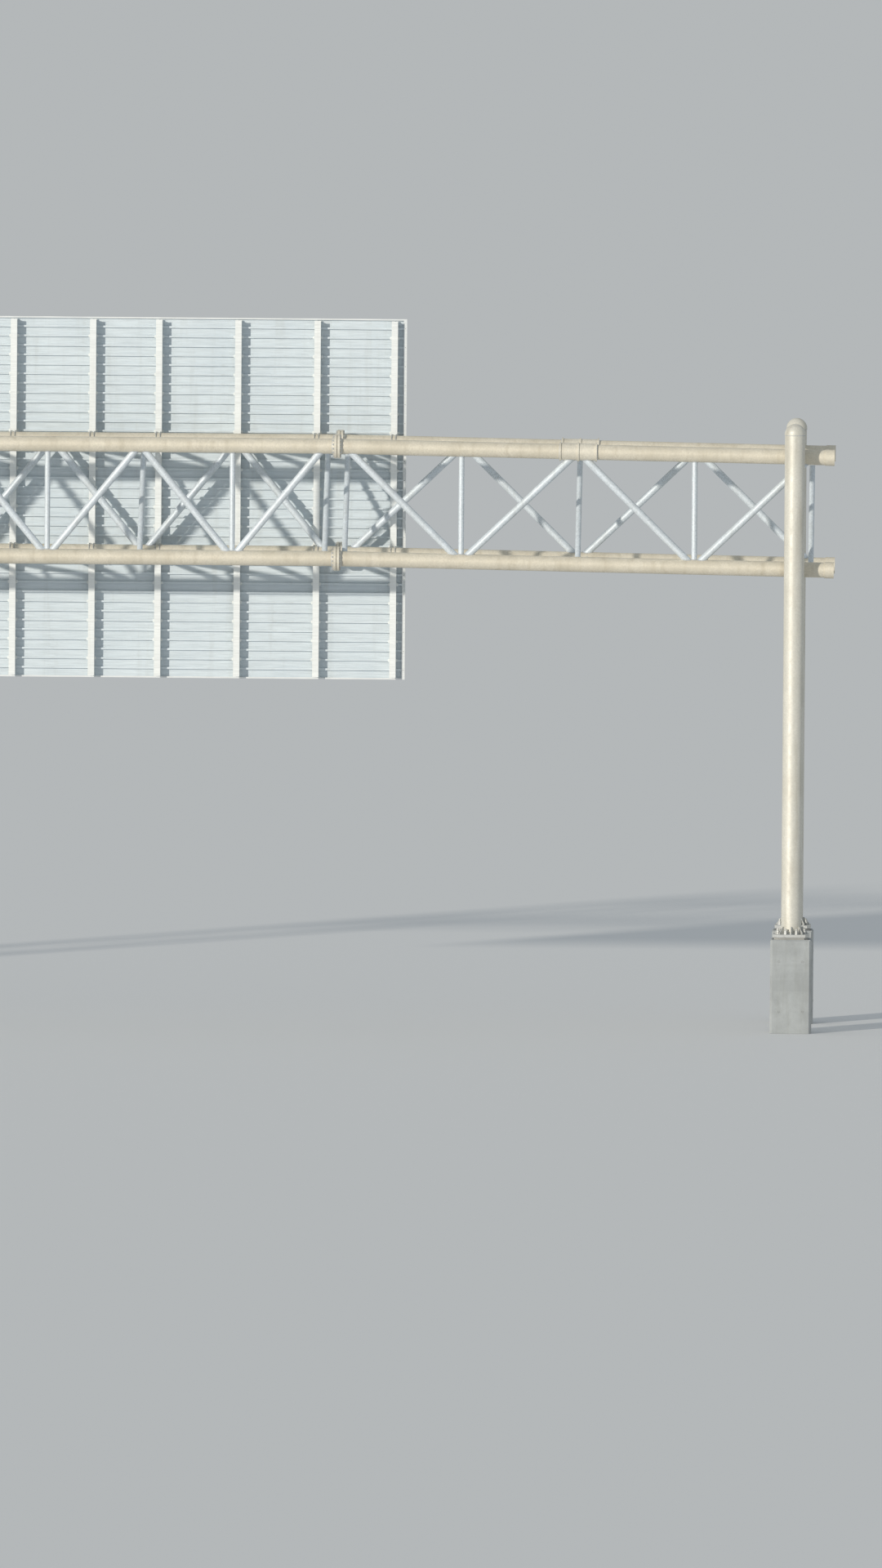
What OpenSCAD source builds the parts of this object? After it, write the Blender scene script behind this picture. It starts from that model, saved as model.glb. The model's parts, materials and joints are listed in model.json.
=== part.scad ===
// Overhead sign gantry: a cambered four-chord tubular box truss that spans a road on two
// twin-post supports and carries a large sign of extruded panels on its far side.
// X runs along the span, Y across it towards the sign face, Z up from the ground.

/* [Truss] */
// Height between the lower and the upper chord axes
truss_h = 1800; // [1500:10:2100]
// Width between the near and the far chord axes
truss_w = 1800; // [1500:10:2100]
// Height of the lower chord axes above the ground at the ends of the truss
lower_chord_z = 7390; // [6800:10:8200]
// Camber: height of the level middle section above the last panel points
camber_rise = 115; // [0:5:150]
// Outside diameter of the chord pipes
chord_d = 244.5; // [220:0.5:270]
// Outside diameter of the face diagonals
diag_d = 114; // [90:1:130]
// Outside diameter of the verticals, the struts, the flat faces' diagonals and the cross braces
strut_d = 89; // [60:1:100]
// Number of flat sides on each web bar
bar_sides = 12; // [8:2:12]
// Panels in the middle section, an even number
mid_bays = 8; // [4:2:10]
// Length of a panel in the middle section
mid_bay = 1480; // [1300:10:1700]
// Panels in each side section, an even number
side_bays = 4; // [4:2:6]
// Length of a panel in the side sections
side_bay = 1865; // [1600:5:2100]
// Chord length past the last panel point of the middle section
mid_end = 195; // [150:5:300]
// Chord length past the end panel point
end_stub = 370; // [280:10:600]

/* [Chord flanges] */
// Outside diameter of the splice flanges
flange_d = 390; // [360:2:460]
// Thickness of each splice flange
flange_t = 45; // [25:1:50]
// Length of the tapered hub behind a flange
hub_l = 30; // [10:1:34]
// Diameter of the hub where it meets the flange
hub_d = 290; // [280:1:340]
// Thickness of the hub at its thin end
hub_tip = 4; // [2:0.5:8]
// Clearance between a hub and the first strut of a side section
hub_clear = 5.5; // [1:0.5:30]
// Diameter of the raised face where two flanges meet
face_d = 300; // [280:2:340]
// Set-back of the flange rim from the raised face
rim_gap = 5; // [2:0.5:10]
// Thickness of the end plates on the chords
end_plate_t = 16; // [8:1:30]
// Overhang of an end plate round the chord
end_plate_lip = 9; // [4:1:20]
// Length of the skirt by which an end plate fits over its chord, plate included
end_skirt_l = 150; // [60:5:160]

/* [Node sleeves] */
// Length of a bolted sleeve on the upper chords
sleeve_l = 600; // [540:10:700]
// Wall of the sleeve
sleeve_wall = 16; // [10:1:25]
// Height of the sleeve's rings above its wall
sleeve_ring_h = 16; // [6:1:24]
// Width of each sleeve ring
sleeve_ring_w = 24; // [12:1:40]

/* [End supports] */
// Outside diameter of the posts
post_d = 324; // [270:1:360]
// Clear gap between a chord and the post beside it
post_gap = 100; // [80:5:200]
// Gap between the beam over the upper chords and a post cap's skirt
cap_gap = 6; // [5:1:300]
// Height of the domed part of a post cap
cap_dome = 145; // [60:5:160]
// Height of the cap's straight skirt
cap_skirt = 34; // [15:1:60]
// Thickness by which the cap skirt stands out from the post
cap_wall = 5; // [3:1:10]
// Diameter of the pipes that brace two posts
brace_d = 114; // [80:1:130]
// Diameter of the horizontal pipes between two posts
rail_d = 140; // [114:1:168]
// Height of the lowest horizontal pipe above the ground
rail_z = 2250; // [2000:10:2600]
// Height on the post between a horizontal pipe's wall and a brace's axis
brace_foot = 130; // [100:5:220]

/* [Carrying beams] */
// Depth of the beam under the lower chords
seat_beam_h = 250; // [180:5:320]
// Depth of the beam over the upper chords
tie_beam_h = 200; // [150:5:240]
// Flange width of both beams
beam_flange_w = 200; // [150:5:220]
// Flange thickness of both beams
beam_flange_t = 14; // [8:1:20]
// Web thickness of both beams
beam_web_t = 9; // [6:1:14]
// Distance between the beam and the chord that rests on it
saddle_t = 34; // [28:1:60]
// Thickness of the plate under a saddle
saddle_plate_t = 18; // [12:1:24]
// Length of a saddle along the chord
saddle_l = 170; // [120:5:200]
// Angle by which a saddle wraps round each side of its chord
saddle_wrap = 57; // [40:1:60]
// Width of the saddle's lip beside the chord
saddle_lip = 13; // [8:1:16]
// Width of the strap that holds a chord on its saddle
strap_w = 60; // [40:2:80]
// Thickness of the strap
strap_t = 14; // [8:1:18]
// Length of each strap foot
strap_foot = 62; // [40:1:80]
// Clearance between a strap and its chord
strap_clear = 0.3; // [0.2:0.1:0.8]
// Clearance between a strap and the nearest diagonal
node_clear = 5; // [3:1:20]

/* [Pedestals] */
// Width of a square concrete pedestal
pedestal_w = 660; // [600:10:900]
// Height of a pedestal above the ground
pedestal_h = 1500; // [900:10:1800]
// Chamfer on the upright edges of a pedestal
pedestal_bevel = 35; // [10:1:60]
// Chamfer round the top of a pedestal
pedestal_top_bevel = 22; // [5:1:40]
// Thickness of the grout under a base plate
grout_t = 35; // [20:1:60]
// Width of the grout pad
grout_w = 540; // [480:5:590]
// Width of a base plate
base_w = 580; // [540:5:600]
// Thickness of a base plate
base_t = 45; // [30:1:60]
// Corner cut of a base plate
base_corner = 60; // [20:1:90]
// Height of the gussets round a post foot
gusset_h = 120; // [80:5:200]
// Reach of a gusset from the post
gusset_l = 100; // [60:5:110]
// Height of a gusset's outer edge
gusset_nose = 24; // [10:1:40]
// Thickness of a gusset
gusset_t = 14; // [8:1:20]
// Number of gussets round a post foot
gusset_n = 8; // [4:4:8]

/* [Sign] */
// Height of one extruded sign panel
panel_h = 304.8; // [280:0.2:320]
// Number of panels stacked in the sign
panel_n = 19; // [15:1:20]
// Joint between two panels
panel_joint = 0.5; // [0.2:0.1:0.9]
// Depth of a sign panel from its face to its ribs
panel_d = 50.8; // [40:0.2:60]
// Thickness of the panel's face sheet
sheet_t = 3.2; // [2.5:0.1:5]
// Thickness of the panel's ribs
rib_t = 4; // [3:0.1:6]
// Width of the head of the middle rib
rib_head_w = 30; // [20:1:40]
// Width of the lips at the panel's edges
lip_w = 14; // [8:1:20]
// Height of the sign's middle above the middle of the raised truss
sign_lift = -30; // [-200:10:100]
// Support beams of each half that stand on the middle section
stud_n = 5; // [4:1:6]
// Distance from the splice to the last support beam before it
stud_before_splice = 385; // [200:5:600]
// Distance from the splice to the outer support beam
stud_past_splice = 855; // [250:1:1000]
// Outward shift of the two support beams nearest the middle
stud_shift = 210; // [0:10:220]
// Sign width past the outer support beam
sign_margin = 190; // [120:5:300]
// Flange width of a support beam
stud_w = 102; // [80:1:130]
// Depth of a support beam
stud_d = 152; // [120:1:180]
// Flange thickness of a support beam
stud_flange_t = 8; // [6:0.5:12]
// Web thickness of a support beam
stud_web_t = 6; // [4:0.5:10]
// Distance from the end of a support beam to the sign's edge
stud_short = 30; // [28:1:60]
// Thickness of the seat between a support beam and its chord
seat_t = 14; // [8:1:24]
// Width of a seat along the chord
seat_w = 150; // [120:5:200]
// Height of a seat
seat_h = 180; // [140:5:200]
// Depth by which a seat reaches back round its chord
seat_grip = 41; // [36:1:60]
// Thickness of the edge trim
trim_t = 4; // [2:0.5:6]
// Width of the trim on the back of the sign at its ends
trim_end_w = 52; // [30:1:70]
// Width of the trim on the back along the top and bottom
trim_edge_w = 24; // [15:1:26]

/* [Hidden] */

// Sides of the model and a small overlap for cuts
left = -1;
right = 1;
near = -1;
far = 1;
cut = 1;
round_sides = 64;
shifted_studs = 2;

// Truss lines
chord_r = chord_d / 2;
chord_y = truss_w / 2;
upper_chord_z = lower_chord_z + truss_h;
mid_half = mid_bays * mid_bay / 2;
splice_x = mid_half + mid_end;
side_x0 = splice_x + flange_t + hub_l + hub_clear + strut_d / 2;
end_x = side_x0 + side_bays * side_bay;
chord_end_x = end_x + end_stub;
camber_run = end_x - splice_x;
camber_angle = atan(camber_rise / camber_run);
sleeve_x = (side_x0 + end_x) / 2;
sleeve_r = chord_r + sleeve_wall;
sleeve_ring_r = sleeve_r + sleeve_ring_h;

// Height of a chord axis above its height at the end panel points
function camber(x) = camber_rise * min(1, (end_x - abs(x)) / camber_run);

// Post lines: the strap stands just inboard of the end diagonal
strap_r = chord_r + strap_clear + strap_t;
side_slope = side_bay / (truss_h - side_bay * camber_rise / camber_run);
end_diag_reach = strap_r * side_slope + diag_d / 2 * sqrt(1 + side_slope * side_slope);
post_x = end_x - end_diag_reach - node_clear - strap_w / 2;
post_r = post_d / 2;
post_y = chord_y + chord_r + post_gap + post_r;
base_z = pedestal_h + grout_t;
post_z = base_z + base_t;
post_lower_chord_z = lower_chord_z + camber(post_x);
post_upper_chord_z = upper_chord_z + camber(post_x);
seat_beam_z = post_lower_chord_z - chord_r - saddle_t - seat_beam_h;
tie_beam_z = post_upper_chord_z + chord_r + saddle_t;
post_top_z = tie_beam_z + tie_beam_h + cap_gap + cap_skirt;

// Sign lines
sign_h = panel_n * panel_h;
sign_mid_z = lower_chord_z + truss_h / 2 + camber_rise + sign_lift;
sign_z0 = sign_mid_z - sign_h / 2;
stud_y = chord_y + chord_r + seat_t;
sign_back_y = stud_y + stud_d;
sign_face_y = sign_back_y + panel_d;
stud_pitch = (splice_x - stud_before_splice) / (stud_n - 0.5);
stud_outer_x = splice_x + stud_past_splice;
stud_xs = [
    for (i = [0 : stud_n - 1]) (i + 0.5) * stud_pitch + (i < shifted_studs ? stud_shift : 0),
    stud_outer_x
];
sign_half = stud_outer_x + sign_margin;

// A straight bar of few sides between two points
module bar(p, q, d) {
    v = q - p;
    l = norm(v);
    translate(p)
        rotate([0, acos(v[2] / l), atan2(v[1], v[0])])
            cylinder(h = l, d = d, $fn = bar_sides);
}

// A round rod along X, centred on x
module x_rod(x, l, r) {
    translate([x - l / 2, 0, 0])
        rotate([0, 90, 0])
            cylinder(h = l, r = r, $fn = round_sides);
}

// Its children, once for the left or the right end of the gantry
module at_end(side) {
    mirror([side < 0 ? 1 : 0, 0, 0]) children();
}

// Its children along the raised chords of the middle section
module raised() {
    translate([0, 0, camber_rise]) children();
}

// Its children along the chords of the right side section, which fall to their end points
module inclined() {
    translate([end_x, 0, 0])
        rotate([0, camber_angle, 0])
            translate([-end_x, 0, 0])
                children();
}

// Cutter for the ends of the web bars of the section that starts at x0: one chord, in a
// side section with its sleeve
module chord_cutter(x0, y, z, sleeved) {
    l = 2 * chord_end_x + 2 * cut;
    translate([0, y, z]) {
        if (x0 < 0) {
            raised() x_rod(0, l, chord_r);
        } else {
            inclined() {
                x_rod(0, l, chord_r);
                if (sleeved) translate([sleeve_x, 0, 0]) sleeve_envelope();
            }
        }
    }
}

// Outer form of a node sleeve: a wall and three rings
module sleeve_envelope() {
    ring_x = (sleeve_l - sleeve_ring_w) / 2;
    x_rod(0, sleeve_l, sleeve_r);
    for (x = [-ring_x, 0, ring_x]) x_rod(x, sleeve_ring_w, sleeve_ring_r);
}

// Panel point i on a chord at y and z, of a section that starts at x0 with panels of length b
function panel_point(x0, b, i, y, z) = [x0 + i * b, y, z + camber(x0 + i * b)];

// Side face of a section: diagonals that meet at the upper chord, at even panel points on
// the near face and at odd ones on the far face; the near face has a vertical at each odd point
module side_web(side, x0, b, n) {
    y = side * chord_y;
    for (i = [0 : n - 1]) {
        falls = (i % 2 == 0) == (side == near);
        z1 = falls ? upper_chord_z : lower_chord_z;
        z2 = falls ? lower_chord_z : upper_chord_z;
        bar(panel_point(x0, b, i, y, z1), panel_point(x0, b, i + 1, y, z2), diag_d);
    }
    if (side == near)
        for (i = [1 : 2 : n - 1])
            bar(panel_point(x0, b, i, y, lower_chord_z), panel_point(x0, b, i, y, upper_chord_z), strut_d);
}

// Upper or lower face of a section: a strut at each panel point and a zigzag of diagonals
module flat_web(z, x0, b, n, first) {
    for (i = [0 : n])
        bar(panel_point(x0, b, i, -chord_y, z), panel_point(x0, b, i, chord_y, z), strut_d);
    for (i = [0 : n - 1]) {
        y = i % 2 == 0 ? first * chord_y : -first * chord_y;
        bar(panel_point(x0, b, i, y, z), panel_point(x0, b, i + 1, -y, z), strut_d);
    }
}

// A side face with its bar ends coped to both chords
module coped_side_web(side, x0, b, n) {
    y = side * chord_y;
    color("gainsboro") difference() {
        side_web(side, x0, b, n);
        chord_cutter(x0, y, upper_chord_z, true);
        chord_cutter(x0, y, lower_chord_z, false);
    }
}

// An upper or lower face with its bar ends coped to both chords
module coped_flat_web(z, x0, b, n) {
    color("gainsboro") difference() {
        flat_web(z, x0, b, n, z == upper_chord_z ? near : far);
        chord_cutter(x0, -chord_y, z, z == upper_chord_z);
        chord_cutter(x0, chord_y, z, z == upper_chord_z);
    }
}

// Cross braces at the even panel points, from the far upper to the near lower chord
module coped_cross_braces(x0, b, n) {
    color("gainsboro") difference() {
        for (i = [0 : 2 : n])
            bar(
                panel_point(x0, b, i, -chord_y, lower_chord_z),
                panel_point(x0, b, i, chord_y, upper_chord_z),
                strut_d
            );
        chord_cutter(x0, chord_y, upper_chord_z, true);
        chord_cutter(x0, -chord_y, lower_chord_z, false);
    }
}

// The same webs on the middle section and on a side section
module middle_side_web(side) coped_side_web(side, -mid_half, mid_bay, mid_bays);
module middle_flat_web(z) coped_flat_web(z, -mid_half, mid_bay, mid_bays);
module middle_cross_braces() coped_cross_braces(-mid_half, mid_bay, mid_bays);
module end_side_web(side) coped_side_web(side, side_x0, side_bay, side_bays);
module end_flat_web(z) coped_flat_web(z, side_x0, side_bay, side_bays);
module end_cross_braces() coped_cross_braces(side_x0, side_bay, side_bays);

// Its children at each of the four corners of the box
module on_chords() {
    for (y = [-chord_y, chord_y], z = [lower_chord_z, upper_chord_z])
        translate([0, y, z]) children();
}

module middle_chords() {
    color("lightgray") on_chords() raised() x_rod(0, 2 * splice_x, chord_r);
}

// Inclined chords, cut upright where they meet the middle section
module side_chords() {
    x0 = splice_x - chord_r;
    x1 = chord_end_x - end_plate_t;
    color("lightgray") on_chords() difference() {
        inclined() x_rod((x0 + x1) / 2, x1 - x0, chord_r);
        translate([splice_x - 2 * chord_r, -chord_d, camber_rise - chord_d])
            cube([2 * chord_r, 2 * chord_d, 2 * chord_d]);
    }
}

// Plates that close the chords, each with a skirt that fits over its chord
module chord_end_plates() {
    skirt_x = chord_end_x - end_skirt_l / 2;
    color("silver")
        for (side = [left, right])
            at_end(side)
                on_chords() inclined() difference() {
                    x_rod(skirt_x, end_skirt_l, chord_r + end_plate_lip);
                    x_rod(skirt_x - end_plate_t, end_skirt_l, chord_r);
                }
}

// A turned flange without its bore, for a chord that lies towards -x, its face at x = 0
module splice_flange() {
    rotate([0, 90, 0])
        rotate_extrude($fn = round_sides)
            polygon([
                [0, 0], [face_d / 2, 0], [face_d / 2, -rim_gap], [flange_d / 2, -rim_gap],
                [flange_d / 2, -flange_t], [hub_d / 2, -flange_t],
                [chord_r + hub_tip, -flange_t - hub_l], [0, -flange_t - hub_l]
            ]);
}

// The flanges of the middle section, bored for its level chords
module inner_splice_flanges() {
    color("silver")
        for (side = [left, right])
            at_end(side)
                on_chords() raised() difference() {
                    translate([splice_x, 0, 0]) splice_flange();
                    x_rod(splice_x, flange_d, chord_r);
                }
}

// The flanges of the side sections, upright like the inner ones but bored for inclined chords
module outer_splice_flanges() {
    color("silver")
        for (side = [left, right])
            at_end(side)
                on_chords() difference() {
                    raised() translate([splice_x, 0, 0]) mirror([1, 0, 0]) splice_flange();
                    inclined() x_rod(splice_x, flange_d, chord_r);
                }
}

module node_sleeves() {
    color("silver")
        for (side = [left, right], y = [-chord_y, chord_y])
            at_end(side)
                translate([0, y, upper_chord_z])
                    inclined() translate([sleeve_x, 0, 0]) difference() {
                        sleeve_envelope();
                        x_rod(0, sleeve_l + 2 * cut, chord_r);
                    }
}

// Pedestal outlines: plan with cut corners, and a side view with a bevelled top
function cut_square(w, c) = [
    [-w / 2 + c, -w / 2], [w / 2 - c, -w / 2], [w / 2, -w / 2 + c], [w / 2, w / 2 - c],
    [w / 2 - c, w / 2], [-w / 2 + c, w / 2], [-w / 2, w / 2 - c], [-w / 2, -w / 2 + c]
];

module bevelled_side() {
    w = pedestal_w;
    b = pedestal_top_bevel;
    translate([0, w / 2 + cut, 0])
        rotate([90, 0, 0])
            linear_extrude(w + 2 * cut)
                polygon([
                    [-w / 2, 0], [w / 2, 0], [w / 2, pedestal_h - b],
                    [w / 2 - b, pedestal_h], [-w / 2 + b, pedestal_h], [-w / 2, pedestal_h - b]
                ]);
}

module pedestal(side_x, side_y) {
    color("darkgray")
        translate([side_x * post_x, side_y * post_y, 0])
            intersection() {
                linear_extrude(pedestal_h) polygon(cut_square(pedestal_w, pedestal_bevel));
                bevelled_side();
                rotate([0, 0, 90]) bevelled_side();
            }
}

module grout_pads() {
    color("dimgray")
        for (side_x = [left, right], side_y = [near, far])
            translate([side_x * post_x, side_y * post_y, pedestal_h])
                linear_extrude(grout_t) polygon(cut_square(grout_w, base_corner));
}

// One upright gusset against the post foot
module gusset() {
    tip = post_r + gusset_l;
    rotate([90, 0, 0])
        translate([0, 0, -gusset_t / 2])
            linear_extrude(gusset_t)
                polygon([
                    [0, 0], [tip, 0], [tip, gusset_nose],
                    [post_r + gusset_nose, gusset_h], [0, gusset_h]
                ]);
}

module base_plates(side_x) {
    color("darkgray")
        for (side_y = [near, far])
            translate([side_x * post_x, side_y * post_y, base_z]) {
                linear_extrude(base_t) polygon(cut_square(base_w, base_corner));
                translate([0, 0, base_t]) difference() {
                    for (i = [0 : gusset_n - 1]) rotate([0, 0, i * 360 / gusset_n]) gusset();
                    translate([0, 0, -cut])
                        cylinder(h = gusset_h + 2 * cut, r = post_r, $fn = round_sides);
                }
            }
}

module post(side_x, side_y) {
    color("lightgray")
        translate([side_x * post_x, side_y * post_y, post_z])
            cylinder(h = post_top_z - post_z, r = post_r, $fn = round_sides);
}

// A turned cap: a skirt round the post top and a dome over it
module post_caps() {
    rim_r = post_r + cap_wall;
    dome_r = (rim_r * rim_r + cap_dome * cap_dome) / (2 * cap_dome);
    color("silver")
        for (side_x = [left, right], side_y = [near, far])
            translate([side_x * post_x, side_y * post_y, post_top_z])
                rotate_extrude($fn = round_sides) {
                    intersection() {
                        translate([0, cap_dome - dome_r]) circle(r = dome_r, $fn = 2 * round_sides);
                        square([rim_r, cap_dome]);
                    }
                    translate([post_r, -cap_skirt]) square([cap_wall, cap_skirt]);
                }
}

// Both posts of one end as cutters
module post_cutters() {
    for (side_y = [near, far])
        translate([post_x, side_y * post_y, 0])
            cylinder(h = post_top_z + cut, r = post_r, $fn = round_sides);
}

// Two crossed tiers of pipe between the posts, each over a horizontal pipe, the upper one
// under the seat beam
module post_bracing(side) {
    rail_r = rail_d / 2;
    tier = (seat_beam_z + rail_r - rail_z) / 2;
    low_z = rail_r + brace_foot;
    slope = (tier - 2 * low_z) / (2 * (post_y - post_r));
    overrun = post_r * slope;
    at_end(side) color("gainsboro") difference() {
        for (i = [0, 1]) {
            z = rail_z + i * tier;
            z1 = z + low_z - overrun;
            z2 = z + tier - low_z + overrun;
            bar([post_x, -post_y, z], [post_x, post_y, z], rail_d);
            bar([post_x, -post_y, z1], [post_x, post_y, z2], brace_d);
            bar([post_x, post_y, z1], [post_x, -post_y, z2], brace_d);
        }
        post_cutters();
    }
}

// Cross section of a rolled beam, its foot at the origin
module beam_section(h) {
    translate([-beam_flange_w / 2, 0]) square([beam_flange_w, beam_flange_t]);
    translate([-beam_flange_w / 2, h - beam_flange_t]) square([beam_flange_w, beam_flange_t]);
    translate([-beam_web_t / 2, 0]) square([beam_web_t, h]);
}

// A beam from post to post at height z of each end, with stiffeners at the chords
module cross_beams(z, h) {
    color("lightgray") for (side = [left, right]) at_end(side) difference() {
        translate([post_x, 0, z]) {
            translate([0, post_y, 0])
                rotate([90, 0, 0]) linear_extrude(2 * post_y) beam_section(h);
            for (y = [-chord_y, chord_y])
                translate([-beam_flange_w / 2, y - beam_web_t / 2, 0])
                    cube([beam_flange_w, beam_web_t, h]);
        }
        post_cutters();
    }
}

// One saddle, with the chord axis at the origin and the beam below it: it follows the
// chord's tilt above and is cut level on the beam
module saddle(tilt) {
    foot_z = -chord_r - saddle_t;
    wedge = saddle_l * sin(abs(tilt));
    plate_y = strap_r + strap_foot;
    cradle_y = chord_r * sin(saddle_wrap) + saddle_lip;
    cradle_z = -chord_r * cos(saddle_wrap);
    difference() {
        rotate([0, tilt, 0]) difference() {
            union() {
                translate([-saddle_l / 2, -plate_y, foot_z - wedge])
                    cube([saddle_l, 2 * plate_y, saddle_plate_t + wedge]);
                translate([-saddle_l / 2, -cradle_y, foot_z - wedge])
                    cube([saddle_l, 2 * cradle_y, cradle_z - foot_z + wedge]);
            }
            x_rod(0, saddle_l + 2 * cut, chord_r);
        }
        translate([-saddle_l, -2 * plate_y, foot_z - saddle_l])
            cube([2 * saddle_l, 4 * plate_y, saddle_l]);
    }
}

// The strap over a chord: a half ring, two legs and two feet on the saddle plate
module strap(tilt) {
    foot_z = -chord_r - saddle_t + saddle_plate_t;
    inner_r = chord_r + strap_clear;
    rotate([0, tilt, 0]) rotate([90, 0, 90])
        translate([0, 0, -strap_w / 2])
            linear_extrude(strap_w) difference() {
                union() {
                    circle(r = strap_r, $fn = round_sides);
                    translate([-strap_r, foot_z]) square([2 * strap_r, -foot_z]);
                    translate([-strap_r - strap_foot, foot_z])
                        square([2 * (strap_r + strap_foot), strap_t]);
                }
                circle(r = inner_r, $fn = round_sides);
                translate([-inner_r, foot_z - cut]) square([2 * inner_r, -foot_z + cut]);
            }
}

// Its children where the chords of height z pass the posts, turned over when upper is 1
module at_post_chords(z, upper) {
    color("silver")
        for (side = [left, right], y = [-chord_y, chord_y])
            at_end(side)
                translate([post_x, y, z])
                    mirror([0, 0, upper])
                        children();
}

module saddles() {
    at_post_chords(post_lower_chord_z, 0) saddle(camber_angle);
    at_post_chords(post_upper_chord_z, 1) saddle(-camber_angle);
}

module chord_straps() {
    at_post_chords(post_lower_chord_z, 0) strap(camber_angle);
    at_post_chords(post_upper_chord_z, 1) strap(-camber_angle);
}

// One extruded panel: a face sheet, lipped edges and a middle rib with a head
module panel_section() {
    h = panel_h - panel_joint;
    translate([panel_d - sheet_t, 0]) square([sheet_t, h]);
    square([panel_d, rib_t]);
    square([rib_t, lip_w]);
    translate([0, h - rib_t]) square([panel_d, rib_t]);
    translate([0, h - lip_w]) square([rib_t, lip_w]);
    translate([0, (h - rib_t) / 2]) square([panel_d, rib_t]);
    translate([0, (h - rib_head_w) / 2]) square([rib_t, rib_head_w]);
}

module sign_panels() {
    color("lightsteelblue")
        for (i = [0 : panel_n - 1])
            translate([-sign_half, sign_back_y, sign_z0 + i * panel_h + panel_joint / 2])
                rotate([90, 0, 90]) linear_extrude(2 * sign_half) panel_section();
}

// A rectangular ring round the sign, its inner edge w_end and w_edge in from the outside
module trim_ring(y, t, w_end, w_edge) {
    w = sign_half + trim_t;
    h = sign_h + 2 * trim_t;
    translate([0, y + t, sign_mid_z])
        rotate([90, 0, 0])
            linear_extrude(t) difference() {
                square([2 * w, h], center = true);
                square([2 * (w - w_end), h - 2 * w_edge], center = true);
            }
}

// An angle bent round the sign's edge, flush with its face
module sign_edge_trim() {
    color("white") {
        trim_ring(sign_back_y - trim_t, panel_d + trim_t, trim_t, trim_t);
        trim_ring(sign_back_y - trim_t, trim_t, trim_end_w, trim_edge_w);
    }
}

// Cross section of a support beam, seen from above, its near flange at y = 0
module stud_section() {
    translate([-stud_w / 2, 0]) square([stud_w, stud_flange_t]);
    translate([-stud_w / 2, stud_d - stud_flange_t]) square([stud_w, stud_flange_t]);
    translate([-stud_web_t / 2, 0]) square([stud_web_t, stud_d]);
}

module sign_support_beams() {
    color("whitesmoke")
        for (side = [left, right], x = stud_xs)
            translate([side * x, stud_y, sign_z0 + stud_short])
                linear_extrude(sign_h - 2 * stud_short) stud_section();
}

// Seats hollowed to the far chords, one under each support beam at each chord
module sign_seats() {
    color("silver")
        for (side = [left, right], x = stud_xs, z = [lower_chord_z, upper_chord_z])
            at_end(side) translate([x, chord_y, z + camber(x)]) difference() {
                translate([-seat_w / 2, chord_r - seat_grip, -seat_h / 2])
                    cube([seat_w, seat_grip + seat_t, seat_h]);
                rotate([0, x > splice_x ? camber_angle : 0, 0]) x_rod(0, 2 * seat_w, chord_r);
            }
}

pedestal(left, near);  // pedestal_left_near
pedestal(left, far);  // pedestal_left_far
pedestal(right, near);  // pedestal_right_near
pedestal(right, far);  // pedestal_right_far
grout_pads();
base_plates(left);  // base_plates_left
base_plates(right);  // base_plates_right
post(left, near);  // post_left_near
post(left, far);  // post_left_far
post(right, near);  // post_right_near
post(right, far);  // post_right_far
post_caps();
post_bracing(left);  // post_bracing_left
post_bracing(right);  // post_bracing_right
cross_beams(seat_beam_z, seat_beam_h);  // seat_beams
cross_beams(tie_beam_z, tie_beam_h);  // tie_beams
saddles();
chord_straps();
at_end(left) side_chords();  // chords_left
middle_chords();  // chords_middle
at_end(right) side_chords();  // chords_right
chord_end_plates();
inner_splice_flanges();
outer_splice_flanges();
node_sleeves();
at_end(left) end_side_web(near);  // near_web_left
middle_side_web(near);  // near_web_middle
at_end(right) end_side_web(near);  // near_web_right
at_end(left) end_side_web(far);  // far_web_left
middle_side_web(far);  // far_web_middle
at_end(right) end_side_web(far);  // far_web_right
at_end(left) end_flat_web(upper_chord_z);  // upper_web_left
middle_flat_web(upper_chord_z);  // upper_web_middle
at_end(right) end_flat_web(upper_chord_z);  // upper_web_right
at_end(left) end_flat_web(lower_chord_z);  // lower_web_left
middle_flat_web(lower_chord_z);  // lower_web_middle
at_end(right) end_flat_web(lower_chord_z);  // lower_web_right
at_end(left) end_cross_braces();  // cross_braces_left
middle_cross_braces();  // cross_braces_middle
at_end(right) end_cross_braces();  // cross_braces_right
sign_panels();
sign_edge_trim();
sign_support_beams();
sign_seats();
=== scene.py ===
"""Looks of the overhead sign gantry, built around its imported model.

The webs and the post bracing are rebuilt here as round pipes with coped ends and weld
beads. Bolts, anchor nuts, U-bolts, clips, rivets and weld rings are added to the other
pieces, and every piece gets a procedural material. Lengths are in metres.
"""

import json
import math

import bmesh
import bpy
from mathutils import Matrix, Vector


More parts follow.
